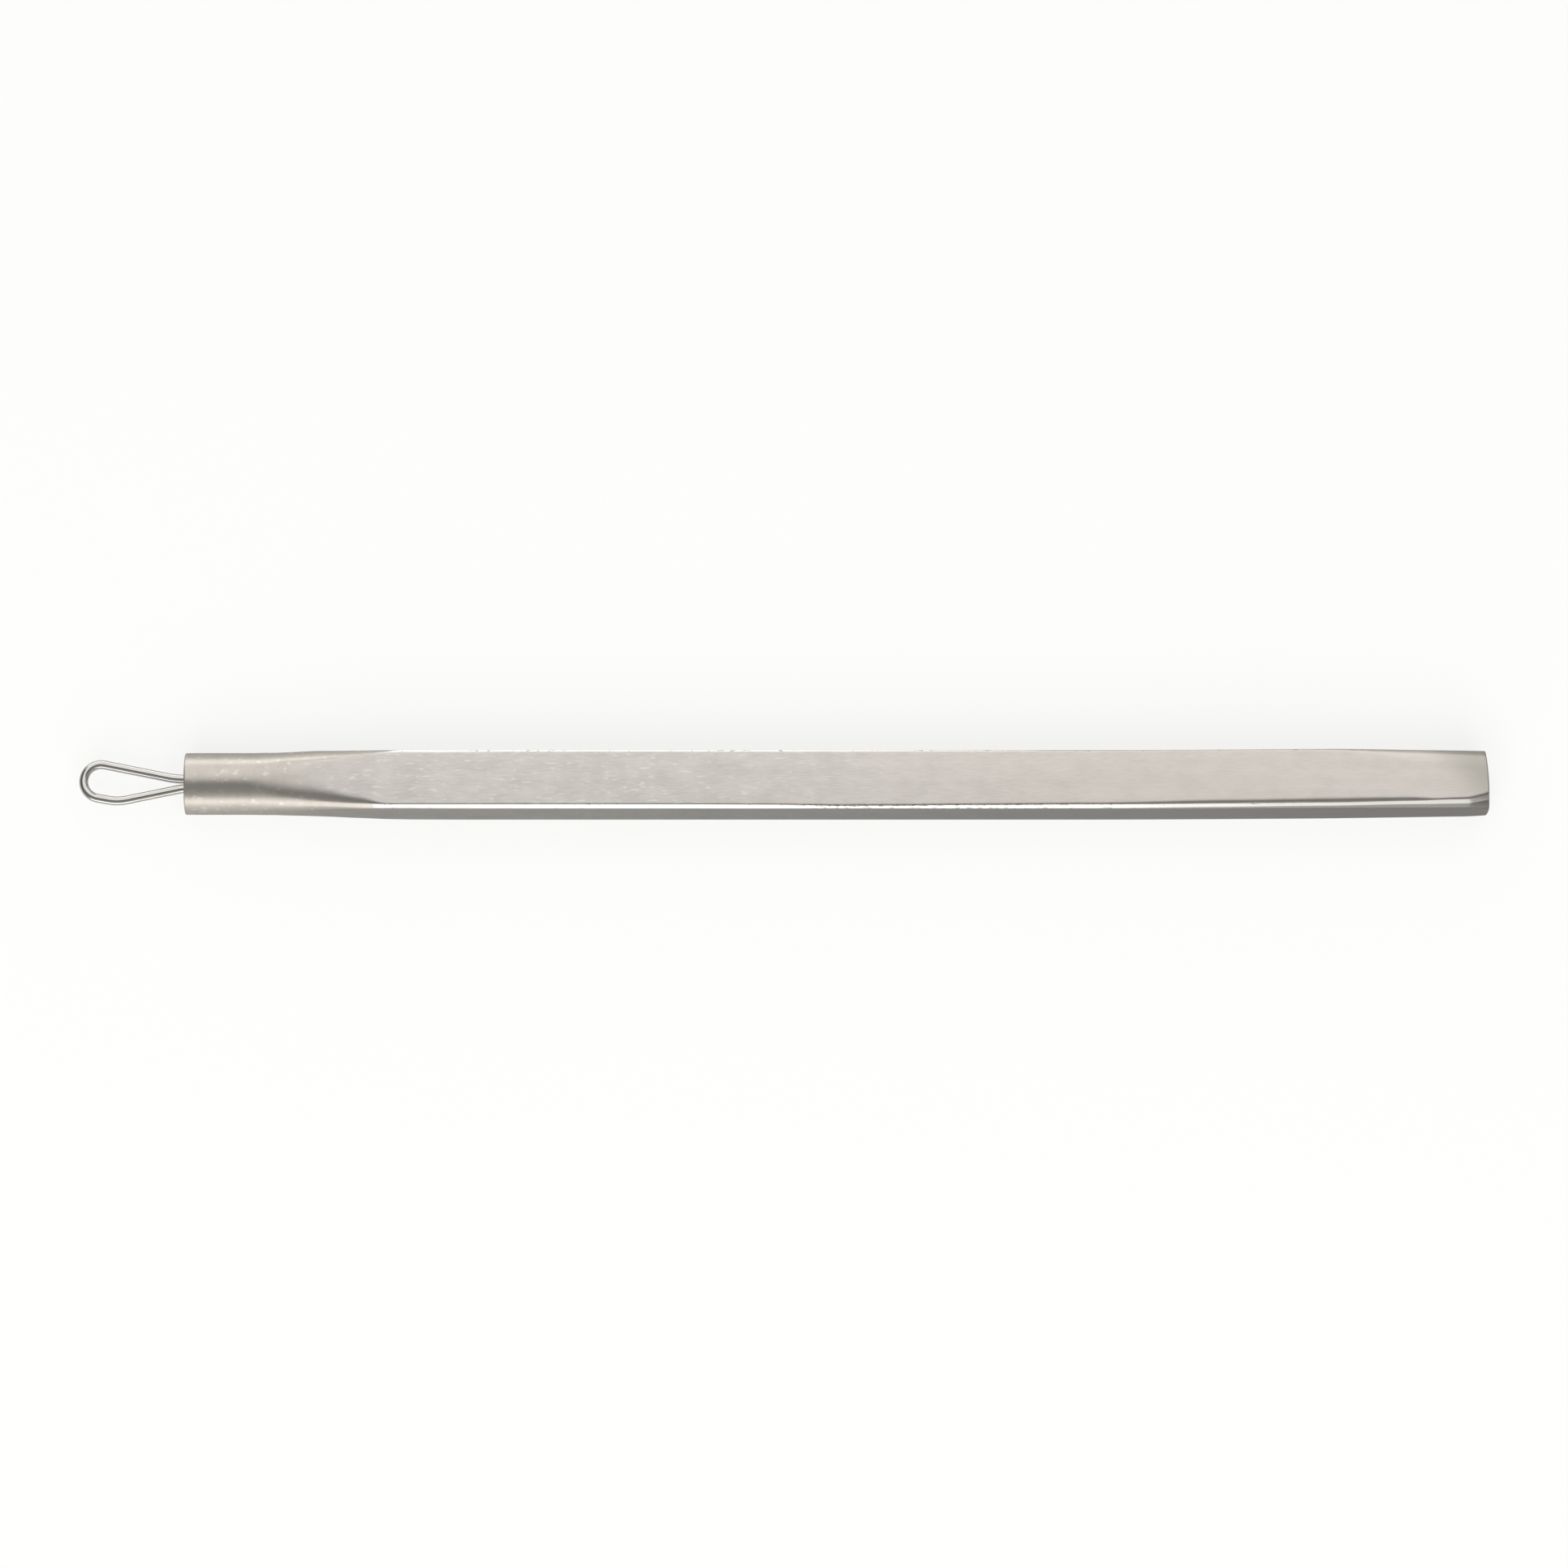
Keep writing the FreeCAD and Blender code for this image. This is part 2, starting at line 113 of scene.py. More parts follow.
class Graph:
    # a node tree that is built from the code

    def __init__(self, owner):
        owner.use_nodes = True
        self.tree = owner.node_tree
        self.tree.nodes.clear()

    def node(self, kind, settings, sockets, out=0):
        made = self.tree.nodes.new(kind)
        for name, value in settings.items():
            setattr(made, name, value)
        for name, value in sockets.items():
            if isinstance(value, Socket):
                self.tree.links.new(value.out, made.inputs[name])
            else:
                made.inputs[name].default_value = value
        return Socket(self, made.outputs[out] if made.outputs else None)

    def place(self):
        return self.node("ShaderNodeTexCoord", {}, {}, out="Object")

    def axis(self, place, name):
        return self.node("ShaderNodeSeparateXYZ", {}, {0: place}, out=name)

    def painted(self, name):
        # a value that the mesh carries on its points
        return self.node("ShaderNodeAttribute", {"attribute_name": name}, {}, out="Fac")

    def grain(self, place, pattern):
        # noise, from its repeats per millimetre along each axis and its detail
        *repeats, detail = pattern
        perMetre = [value / millimetre for value in repeats]
        stretched = self.node("ShaderNodeVectorMath", {"operation": "MULTIPLY"}, {0: place, 1: perMetre})
        return self.node("ShaderNodeTexNoise", {}, {"Vector": stretched, "Scale": 1.0, "Detail": detail})

    def tint(self, factor, first, second):
        sockets = {0: factor, 6: first, 7: second}
        return self.node("ShaderNodeMix", {"data_type": "RGBA"}, sockets, out=2)

    def blend(self, factor, first, second):
        sockets = {0: factor, 2: first, 3: second}
        return self.node("ShaderNodeMix", {"data_type": "FLOAT"}, sockets)

    def metal(self, colour, roughness, height):
        # height in metres, so that the bump is as deep as it says
        normal = self.node("ShaderNodeBump", {}, {"Strength": 1.0, "Distance": 1.0, "Height": height})
        sockets = {"Base Color": colour, "Metallic": 1.0, "Roughness": roughness, "Normal": normal}
        shader = self.node("ShaderNodeBsdfPrincipled", {}, sockets)
        self.node("ShaderNodeOutputMaterial", {}, {"Surface": shader})

    def glow(self, colour):
        return self.node("ShaderNodeEmission", {}, {"Color": colour, "Strength": 1.0})


# The handle

bar = {
    "length": 95.0,
    "half": 2.175,
    "crown": 0.02,
    # corners
    "chamfer": 0.3,
    "lowFrontChamfer": 0.12,
    "drift": 0.25,
    "driftLength": 14.0,
    "driftApart": 7.3,
    "edgeRound": 0.045,
    "backRound": 0.04,
    # nose and its taper
    "noseRadius": 2.25,
    "noseRound": 3.4,
    "faceRadii": (1.0, 1.4, 1.8, 2.1),
    "taperStart": 5.1,
    "taperEnd": 15.5,
    "taperAngle": 3.52,
    "taperSwell": 0.07,
    "turnedReach": 2.86,
    "flatFinish": (5.0, 12.0),
    # bore
    "boreRadius": 0.755,
    "boreDepth": 7.6,
    "borePoint": 8.05,
    "borePlaces": (4.0, 1.0, 0.2),
    "mouthBreak": 0.03,
    # butt
    "facetStart": 93.329,
    "facetRadius": 2.686,
    "facetAngle": 8.0,
    "backFacetAngle": 2.0,
    "reliefAngle": 1.8,
    "rimRound": 0.12,
    "rimX": 94.829,
    "domeRadius": 18.0,
    "domeShares": (0.96, 0.9, 0.8, 0.65, 0.5, 0.35, 0.2, 0.1, 0.0),
    "buttLean": 0.05,
    "leanFrom": -1.0,
    # how finely it is divided
    "flatSteps": 10,
    "cornerSteps": 8,
    "leastCrease": 0.3,
    "creaseSlack": 0.001,
    "rimTurns": (0, 15, 30, 45, 60, 75, 90),
    "noseStep": 0.4,
    "fineEnd": 16.0,
    "buttStart": 87.0,
    "rimStart": 94.68,
    "sideSteps": (0.25, 0.6, 0.2, 0.2),
    # colours
    "dark": (0.665, 0.63, 0.58, 1),
    "light": (0.785, 0.755, 0.71, 1),
    "warm": (0.79, 0.72, 0.66, 1),
    "turned": (0.655, 0.59, 0.51, 1),
    "fleck": (0.93, 0.91, 0.88, 1),
    "buttShade": (0.45, 0.43, 0.37, 1),
    "edge": (0.86, 0.84, 0.80, 1),
    "frontShade": (0.0, 0.0, 0.0, 1),
    "nick": (0.30, 0.28, 0.25, 1),
    "speck": (0.93, 0.92, 0.89, 1),
    # how much of each colour
    "grainShare": 0.55,
    "warmShare": 0.45,
    "warmPatches": 0.5,
    "warmLevel": 0.4,
    "turnedShare": 0.5,
    "fleckShare": 0.6,
    "buttShadeShare": 0.75,
    "edgeShare": 0.8,
    "frontShadeShare": 0.28,
    "frontShadeGrowth": 0.3,
    "nickShare": 0.6,
    "speckShare": 0.5,
    # patterns: repeats per millimetre along x, y and z, then detail
    "lines": (1.3, 9.0, 9.0, 3.0),
    "rings": (2.0, 0.8, 0.8, 4.0),
    "bands": (0.05, 1.3, 1.3, 2.0),
    "blotches": (0.5, 0.7, 0.7, 4.0),
    "flecks": (1.2, 5.0, 5.0, 3.0),
    "ragged": (2.5, 5.0, 5.0, 3.0),
    "specks": (1.8, 2.6, 2.6, 4.0),
    # the values of a pattern between which its colour comes in
    "shadeLevels": (0.3, 0.7),
    "fleckLevels": (0.6, 0.68),
    "nickLevels": (0.56, 0.66),
    "nickGain": 0.07,
    "patchLevels": (0.4, 0.6),
    "patchGain": 0.15,
    "speckLevels": (0.6, 0.66),
    # places in the scene's metres between which a colour comes in
    "warmReach": (-0.02, 0.04),
    "fleckReach": (0.02, -0.01),
    "buttShadeReach": (0.047, 0.052),
    "buttShadeSlant": 0.8,
    "frontReach": (0.001, -0.001),
    "faceReach": (0.0019, 0.00185),
    "frontShadeReach": (-0.03, 0.05),
    "nickedFrom": (-0.002, 0.004),
    "nickedTo": (0.03, 0.022),
    # millimetres from the edge of a flat
    "chamferReach": (-0.05, 0.0),
    "nickReach": (0.02, 0.09),
    "nickRagged": 0.25,
    # roughness, and the depths of the bump in metres
    "roughGround": 0.30,
    "roughTurned": 0.38,
    "roughBands": 0.1,
    "edgeShine": 0.14,
    "grainDepth": 1.4e-6,
    "blotchDepth": 1.5e-6,
    "nickDepth": 6.0e-6,
}

# Tables along the bar, each row a place and a size in millimetres

# Half the bar's thickness: the flats come down slowly out of the round nose, those of the sides more slowly
topHeight = [(0, 2.62), (3.8, 2.62), (6.9, 2.23), (9, 2.2), (12.5, 2.195), (15.5, 2.175), (95, 2.175)]
sideHeight = [(0, 2.62), (3.8, 2.62), (6.9, 2.265), (9, 2.24), (12, 2.195), (15.5, 2.175), (95, 2.175)]

# How broadly a flat runs into a turned part, and the same for the back upper corner
creaseSoftness = [(0, 0.32), (7, 0.34), (10, 0.37), (12.5, 0.27), (15, 0.06), (89, 0.05), (93, 0.08),
                  (95, 0.06)]
backSoftness = [(0, 0.32), (7, 0.34), (10, 0.14), (12.5, 0.06), (15, 0.04), (84, 0.05), (91, 0.34),
                (95, 0.42)]

# The front upper chamfer, ground by hand: its width on the top, on the side, and how round its upper edge is
frontTop = [(0, 0.29), (14.3, 0.29), (22, 0.31), (33, 0.31), (42.7, 0.29), (47.5, 0.22), (52, 0.23),
            (57, 0.27), (66.4, 0.32), (76, 0.39), (83, 0.42), (90, 0.5), (92.4, 0.55), (95, 0.62)]
frontSide = [(0, 0.36), (14.3, 0.36), (22, 0.38), (33, 0.36), (42.7, 0.31), (47.5, 0.22), (52, 0.24),
             (57, 0.31), (66.4, 0.38), (76, 0.45), (83, 0.48), (90, 0.57), (92.4, 0.57), (95, 0.52)]
frontRound = [(0, 0.045), (40, 0.045), (50, 0.065), (66, 0.08), (76, 0.17), (85, 0.21), (89, 0.18),
              (91.5, 0.07), (95, 0.05)]

# The back upper chamfer: its width on the back and on the top
backSide = [(0, 0.17), (17, 0.17), (24, 0.13), (60, 0.13), (95, 0.12)]
backTop = [(0, 0.26), (17, 0.26), (24, 0.19), (45, 0.18), (60, 0.16), (72, 0.11), (95, 0.1)]

# How far the bar bows to the back
bow = [(0, 0.0), (9, 0.0), (13, -0.05), (21, -0.073), (66, -0.073), (94, 0.06), (95, 0.07)]

# Corners, counted from the back upper one over the front
backCorner = 0
frontCorner = 1
lowFrontCorner = 2


def softLess(first, second, width):
    # the smaller of two numbers, rounded where they cross
    near = max(width - abs(first - second), 0.0)
    return min(first, second) - near * near / (4 * width)


def eased(value, low, high):
    share = min(max((value - low) / (high - low), 0.0), 1.0)
    return share * share * (3 - 2 * share)


def tableAt(table, x):
    for (startX, start), (endX, end) in zip(table, table[1:]):
        if startX <= x <= endX:
            return start + (end - start) * eased(x, startX, endX)
    return table[-1][1]


def rise(length, degrees):
    return length * math.tan(math.radians(degrees))


def cornerOf(angle):
    return int(angle // quarter) % 4


def eighthOf(angle):
    # the corner, the angle past the flat before it, whether that flat is the nearer one, and the angle
    # from the nearer one
    corner = cornerOf(angle)
    past = angle - corner * quarter
    isFirst = past < diagonal
    return corner, past, isFirst, past if isFirst else quarter - past


def chamferAt(x, corner):
    # widths of a chamfer on the flat before it and on the flat after it
    if corner == frontCorner:
        return tableAt(frontTop, x), tableAt(frontSide, x)
    if corner == backCorner:
        return tableAt(backSide, x), tableAt(backTop, x)
    drift = noise.noise(Vector((x / bar["driftLength"], corner * bar["driftApart"], 0)))
    width = bar["lowFrontChamfer" if corner == lowFrontCorner else "chamfer"] * (1 + bar["drift"] * drift)
    return width, width


def roundAt(x, corner, isFirst):
    if corner == frontCorner and isFirst:
        return tableAt(frontRound, x)
    return bar["backRound"] if corner == backCorner else bar["edgeRound"]


def turnedAt(x, corner):
    # the radius that the lathe leaves
    nose = bar["noseRadius"] + rise(max(x - bar["taperStart"], 0), bar["taperAngle"])
    nose += bar["taperSwell"] * eased(x, bar["taperStart"], bar["taperEnd"])
    if x < bar["facetStart"]:
        butt = bar["facetRadius"] + rise(bar["facetStart"] - x, bar["reliefAngle"])
    else:
        facet = bar["backFacetAngle" if corner == backCorner else "facetAngle"]
        butt = bar["facetRadius"] - rise(x - bar["facetStart"], facet)
    return min(nose, butt)


def heightAt(x, corner, isFirst):
    isSide = (corner % 2 == 0) == isFirst
    return tableAt(sideHeight if isSide else topHeight, x)


def creaseAt(x, corner, isFirst):
    # the angle from a flat's middle to its edge
    half = heightAt(x, corner, isFirst)
    first, second = chamferAt(x, corner)
    edge = math.atan((half - (first if isFirst else second)) / half)
    turned = math.acos(min(half / turnedAt(x, corner), 1.0))
    return max(min(edge, turned), bar["leastCrease"])


def barRadius(x, angle):
    corner, past, isFirst, fromFlat = eighthOf(angle)
    flat = heightAt(x, corner, isFirst) / math.cos(fromFlat) - bar["crown"] * math.tan(fromFlat) ** 2
    half = tableAt(topHeight, x)
    first, second = chamferAt(x, corner)
    across = second * math.sin(past) + first * math.cos(past)
    chamfer = (second * (half - first) + first * half) / across
    square = softLess(flat, chamfer, roundAt(x, corner, isFirst))
    softness = backSoftness if corner == backCorner else creaseSoftness
    return softLess(square, turnedAt(x, corner), tableAt(softness, x))


def finishAt(x, angle):
    # 1 where the steel was turned, 0 where it was ground flat
    corner, past, isFirst, fromFlat = eighthOf(angle)
    isOutside = fromFlat > creaseAt(x, corner, isFirst) - bar["creaseSlack"]
    if x < bar["taperEnd"] and isOutside and turnedAt(x, corner) < bar["turnedReach"]:
        return 1.0
    return 1 - eased(x, *bar["flatFinish"])


def ringAngle(x, place):
    # places gather near the creases, and follow them along the bar
    steps = bar["flatSteps"] + bar["cornerSteps"]
    eighth, within = divmod(place, steps)
    corner = eighth // 2
    crease = creaseAt(x, corner, eighth % 2 == 0)
    if eighth % 2:
        within = steps - within
    if within < bar["flatSteps"]:
        left = 1 - within / bar["flatSteps"]
        fromFlat = crease * (1 - left * left)
    else:
        share = (within - bar["flatSteps"]) / bar["cornerSteps"]
        fromFlat = crease + (diagonal - crease) * share
    if eighth % 2:
        return quarter * (corner + 1) - fromFlat
    return quarter * corner + fromFlat


def domeX(radius):
    return bar["length"] - bar["domeRadius"] + math.sqrt(bar["domeRadius"] ** 2 - radius ** 2)


def leanAt(radius, angle):
    # the butt leans, so its back falls short
    return bar["buttLean"] * (radius * math.cos(angle) - bar["leanFrom"])


def barPoint(station, place):
    kind, value, radius = station
    if kind == "round":
        x = value
        angle = ringAngle(0, place)
    elif kind == "side":
        x = value
        angle = ringAngle(x, place)
        radius = barRadius(x, angle)
    else:
        angle = ringAngle(bar["rimX"], place)
        full = barRadius(bar["rimX"], angle)
        inner = full - bar["rimRound"]
        if kind == "rim":
            radius = full - bar["rimRound"] * (1 - math.cos(value))
            x = domeX(inner) - bar["rimRound"] * (1 - math.sin(value)) - leanAt(radius, angle)
        else:
            radius = inner * value
            x = domeX(radius) - leanAt(radius, angle)
    return inRow(x, radius * math.cos(angle) + tableAt(bow, x), radius * math.sin(angle)), angle


def stepped(start, end, step):
    count = max(round((end - start) / step), 1)
    return [start + (end - start) * i / count for i in range(count)]


def barStations():
    # from the end of the bore, out over the nose and along to the middle of the butt
    turns = [math.radians(turn) for turn in bar["rimTurns"]]
    rim = bar["rimRound"]
    bore = bar["boreRadius"]
    mouth = bar["mouthBreak"]
    made = [("round", bar["borePoint"], 0.0), ("round", bar["boreDepth"], bore)]
    made += [("round", x, bore) for x in (*bar["borePlaces"], mouth)]
    made += [("round", 0.0, radius) for radius in (bore + mouth, *bar["faceRadii"])]
    made += [("round", rim * (1 - math.cos(turn)), bar["noseRadius"] - rim * (1 - math.sin(turn)))
             for turn in turns[:-1]]
    made += [("round", x, bar["noseRadius"]) for x in stepped(rim, bar["noseRound"], bar["noseStep"])]
    ends = [bar[name] for name in ("noseRound", "fineEnd", "buttStart", "facetStart", "rimStart")]
    for start, end, step in zip(ends, ends[1:], bar["sideSteps"]):
        made += [("side", x, 0) for x in stepped(start, end, step)]
    made += [("rim", turn, 0) for turn in turns]
    made += [("dome", share, 0) for share in bar["domeShares"]]
    return made


def insetOf(place, angle):
    # millimetres from the edge of the nearest flat, negative on the chamfer
    x = (place.x - noseFace) / millimetre
    first, second = chamferAt(x, cornerOf(angle))
    across = abs(place.y / millimetre - tableAt(bow, x))
    upward = abs(place.z - axisHeight) / millimetre
    return bar["half"] - min(first + across, second + upward)


def grown(bm, ring):
    # extrude a ring of edges, and give the new ring
    made = bmesh.ops.extrude_edge_only(bm, edges=ring)["geom"]
    return [part for part in made if isinstance(part, bmesh.types.BMEdge) and part.is_boundary]


def makeHandle():
    bm = bmesh.new()
    places = 8 * (bar["flatSteps"] + bar["cornerSteps"])
    place = bm.verts.layers.int.new("place")
    turned = bm.verts.layers.float.new("turned")
    inset = bm.verts.layers.float.new("inset")
    start = bmesh.ops.create_circle(bm, cap_ends=False, radius=millimetre, segments=places)["verts"]
    for count, vert in enumerate(start):
        vert[place] = count
    ring = list(bm.edges)
    for index, station in enumerate(barStations()):
        if index:
            ring = grown(bm, ring)
        for vert in {vert for edge in ring for vert in edge.verts}:
            vert.co, angle = barPoint(station, vert[place])
            isSide = station[0] == "side"
            vert[turned] = finishAt(station[1], angle) if isSide else float(station[0] == "round")
            vert[inset] = insetOf(vert.co, angle)
    bm.verts.layers.int.remove(place)
    return bm


def handleSteel():
    material = bpy.data.materials.new("handleSteel")
    graph = Graph(material)
    place = graph.place()
    along = graph.axis(place, "X")
    across = graph.axis(place, "Y")
    upward = graph.axis(place, "Z")
    turned = graph.painted("turned")
    inset = graph.painted("inset")
    ground = 1.0 - turned
    chamfer = (1.0 - inset.between(*bar["chamferReach"])) * ground
    inFront = across.between(*bar["frontReach"])

    # brushed along the flats, turned round the nose, warmer towards the butt
    bands = graph.grain(place, bar["bands"])
    blotches = graph.grain(place, bar["blotches"])
    grain = graph.blend(turned, graph.grain(place, bar["lines"]), graph.grain(place, bar["rings"]))
    shade = blotches * (1 - bar["grainShare"]) + grain * bar["grainShare"]
    colour = graph.tint(shade.between(*bar["shadeLevels"]), bar["dark"], bar["light"])
    warmth = along.between(*bar["warmReach"]) * bar["warmShare"]
    warmth += (blotches - bar["warmLevel"]) * bar["warmPatches"]
    colour = graph.tint(warmth, colour, bar["warm"])
    colour = graph.tint(turned * bar["turnedShare"], colour, bar["turned"])

    # light flecks near the nose, painted shade darkening the butt and its back corner, bright chamfers, and
    # painted shade on the front face
    flecks = graph.grain(place, bar["flecks"]).between(*bar["fleckLevels"])
    flecks *= along.between(*bar["fleckReach"]) * ground
    colour = graph.tint(flecks * bar["fleckShare"], colour, bar["fleck"])
    # painted shade: the colour darkens towards the butt and its back upper corner, standing in for the shade
    # where the end rolls off
    buttShade = (along + across * bar["buttShadeSlant"]).between(*bar["buttShadeReach"])
    colour = graph.tint(buttShade * bar["buttShadeShare"], colour, bar["buttShade"])
    colour = graph.tint(chamfer * bar["edgeShare"], colour, bar["edge"])
    # painted shade: the front side face is darkened in colour, more so towards the butt
    face = (upward - axisHeight).size().between(*bar["faceReach"]) * ground * inFront
    frontShadeAmount = along.between(*bar["frontShadeReach"]) * bar["frontShadeGrowth"] + bar["frontShadeShare"]
    colour = graph.tint(face * frontShadeAmount, colour, bar["frontShade"])

    # nicks along the edges, most of them in the middle of the front one, and specks on the nose
    ragged = graph.grain(place, bar["ragged"])
    fromEdge = (inset + (ragged - noiseMiddle) * bar["nickRagged"]).size()
    nicked = along.between(*bar["nickedFrom"]) * along.between(*bar["nickedTo"]) * inFront
    nicks = (1.0 - fromEdge.between(*bar["nickReach"])) * ground
    nicks *= (ragged + nicked * bar["nickGain"]).between(*bar["nickLevels"])
    nicks *= (blotches + nicked * bar["patchGain"]).between(*bar["patchLevels"])
    colour = graph.tint(nicks * bar["nickShare"], colour, bar["nick"])
    specks = graph.grain(place, bar["specks"]).between(*bar["speckLevels"])
    colour = graph.tint(specks * turned * bar["speckShare"], colour, bar["speck"])

    rough = graph.blend(turned, bar["roughGround"], bar["roughTurned"])
    roughness = rough + (bands - noiseMiddle) * bar["roughBands"] - chamfer * bar["edgeShine"]
    height = grain * bar["grainDepth"] + blotches * bar["blotchDepth"] - nicks * bar["nickDepth"]
    graph.metal(colour, roughness, height)
    return material


def finishPiece(bm, name, material, node):
    bmesh.ops.remove_doubles(bm, verts=bm.verts, dist=weldDistance)
    bmesh.ops.recalc_face_normals(bm, faces=bm.faces)
    mesh = bpy.data.meshes.new(name)
    bm.to_mesh(mesh)
    bm.free()
    mesh.shade_smooth()
    mesh.materials.append(material)
    piece = bpy.data.objects.new(name, mesh)
    bpy.context.scene.collection.objects.link(piece)
    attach(piece, "root")
    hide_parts(node)
    print("scene:", name, len(mesh.polygons), "faces")


finishPiece(makeHandle(), "squareHandle", handleSteel(), "handle")


# The loop of wire

wire = {
    "radius": 0.325,
    "around": 24,
    "legOffset": 0.36,
    "legDepth": 7.0,
    "exit": -0.12,
    "reach": 7.75,
    "tipRadius": 1.26,
    "tipOffset": 0.18,
    "flankLength": 0.8,
    "flankAngle": 10.5,
    "shoulderRadius": 3.5,
    "backMouth": 6.0,
    "frontMouth": 1.5,
    "legSteps": 6,
    "mouthSteps": 8,
    "runSteps": 12,
    "tipSteps": 48,
    "flankSteps": 4,
    "shoulderSteps": 10,
    "dark": (0.66, 0.64, 0.60, 1),
    "light": (0.82, 0.80, 0.76, 1),
    "fine": (3.0, 3.0, 3.0, 3.0),
    "broad": (0.8, 0.8, 0.8, 2.0),
    "rough": 0.07,
    "roughSpread": 0.1,
    "depth": 1.0e-6,
}


def heading(degrees):
    turn = math.radians(degrees)
    return Vector((math.cos(turn), math.sin(turn), 0))


def legLine(bend, bendRadius, arc, arcRadius):
    # slope and length of the straight leg that passes between two bends and touches both
    away = bend - arc
    radii = bendRadius + arcRadius
    slope = math.atan2(away.x, abs(away.y)) - math.acos(radii / away.length)
    return math.degrees(slope), math.sqrt(away.length ** 2 - radii ** 2)


def ringOf(bm, verts):
    held = set(verts)
    return [edge for edge in bm.edges if held.issuperset(edge.verts)]


def makeWire():
    bm = bmesh.new()
    radius = wire["radius"] * millimetre
    end = bmesh.ops.create_circle(bm, cap_ends=True, radius=radius, segments=wire["around"])["verts"]
    upright = Matrix.Rotation(quarter, 4, "Y")
    corner = Matrix.Translation(inRow(wire["legDepth"], wire["legOffset"], 0))
    bmesh.ops.transform(bm, matrix=corner @ upright, verts=end)
    tip = Vector((wire["tipRadius"] + wire["radius"] - wire["reach"], wire["tipOffset"], 0))
    backBend = Vector((wire["exit"], wire["legOffset"] + wire["backMouth"], 0))
    frontBend = Vector((wire["exit"], -wire["legOffset"] - wire["frontMouth"], 0))
    flankStart = tip + heading(-90 - wire["flankAngle"]) * wire["tipRadius"]
    flankEnd = flankStart + heading(-wire["flankAngle"]) * wire["flankLength"]
    shoulder = flankEnd + heading(90 - wire["flankAngle"]) * wire["shoulderRadius"]
    backSlope, backRun = legLine(backBend, wire["backMouth"], tip, wire["tipRadius"])
    frontSlope, frontRun = legLine(frontBend, wire["frontMouth"], shoulder, wire["shoulderRadius"])
    inBore = wire["legDepth"] - wire["exit"]
    steps = [
        ("run", heading(180), inBore, wire["legSteps"]),
        ("bend", backBend, -backSlope, wire["mouthSteps"]),
        ("run", heading(180 - backSlope), backRun, wire["runSteps"]),
        ("bend", tip, 180 - wire["flankAngle"] + backSlope, wire["tipSteps"]),
        ("run", heading(-wire["flankAngle"]), wire["flankLength"], wire["flankSteps"]),
        ("bend", shoulder, wire["flankAngle"] + frontSlope, wire["shoulderSteps"]),
        ("run", heading(frontSlope), frontRun, wire["runSteps"]),
        ("bend", frontBend, -frontSlope, wire["mouthSteps"]),
        ("run", heading(0), inBore, wire["legSteps"]),
    ]
    for kind, where, size, count in steps:
        ring = ringOf(bm, end)
        if kind == "bend":
            spun = bmesh.ops.spin(bm, geom=ring + end, cent=inRow(where.x, where.y, 0), axis=(0, 0, 1),
                                  dvec=(0, 0, 0), angle=math.radians(size), steps=count, use_duplicate=False)
            end = [part for part in spun["geom_last"] if isinstance(part, bmesh.types.BMVert)]
            continue
        for _ in range(count):
            ring = grown(bm, ring)
            end = list({vert for edge in ring for vert in edge.verts})
            bmesh.ops.translate(bm, vec=where * (size * millimetre / count), verts=end)
    bmesh.ops.contextual_create(bm, geom=ringOf(bm, end))
    return bm


def wireSteel():
    material = bpy.data.materials.new("wireSteel")
    graph = Graph(material)
    place = graph.place()
    fine = graph.grain(place, wire["fine"])
    colour = graph.tint(graph.grain(place, wire["broad"]), wire["dark"], wire["light"])
    graph.metal(colour, wire["rough"] + fine * wire["roughSpread"], fine * wire["depth"])
    return material


finishPiece(makeWire(), "wireTeardrop", wireSteel(), "wire_loop")


# The solder at the mouth

bead = {
    "cap": [(0.04, 0.755), (0.0, 0.75), (-0.04, 0.7), (-0.08, 0.52), (-0.11, 0.28), (-0.12, 0.0)],
    "around": 48,
    "dark": (0.55, 0.53, 0.49, 1),
    "light": (0.78, 0.76, 0.72, 1),
    "fine": (5.0, 5.0, 5.0, 3.0),
    "rough": 0.3,
    "roughSpread": 0.15,
    "depth": 4.0e-6,
}


def makeSolder():
    bm = bmesh.new()
    profile = [(bar["boreDepth"], 0.0), (bar["boreDepth"], bar["boreRadius"]), *bead["cap"]]
    points = [bm.verts.new(inRow(x, radius, 0)) for x, radius in profile]
    edges = [bm.edges.new(pair) for pair in zip(points, points[1:])]
    bmesh.ops.spin(bm, geom=points + edges, cent=inRow(0, 0, 0), axis=(1, 0, 0), dvec=(0, 0, 0),
                   angle=4 * quarter, steps=bead["around"], use_merge=True, use_duplicate=False)
    return bm


def hardSolder():
    material = bpy.data.materials.new("hardSolder")
    graph = Graph(material)
    fine = graph.grain(graph.place(), bead["fine"])
    colour = graph.tint(fine, bead["dark"], bead["light"])
    graph.metal(colour, bead["rough"] + fine * bead["roughSpread"], fine * bead["depth"])
    return material


finishPiece(makeSolder(), "solderBead", hardSolder(), "solder_fill")


# Floor, light and camera

studio = {
    "floorSize": 3.0,
    "floorColour": (0.39, 0.39, 0.385, 1),
    "floorWhite": (1.0, 1.0, 0.985, 1),
    "floorInView": (0.79, 0.79, 0.783, 1),
    "floorSeen": 0.782,
    "floorMirrored": 0.12,
    "frontPaintedLight": 0.55,
    "frontReach": (-0.004, -0.014),
    "worldColour": (0.42, 0.42, 0.415, 1),
    "cameraElevation": 78.0,
    "cameraDistance": 0.6,
    "cameraClip": 0.01,
    "frameWidth": 0.1143,
    "sensor": 36.0,
}

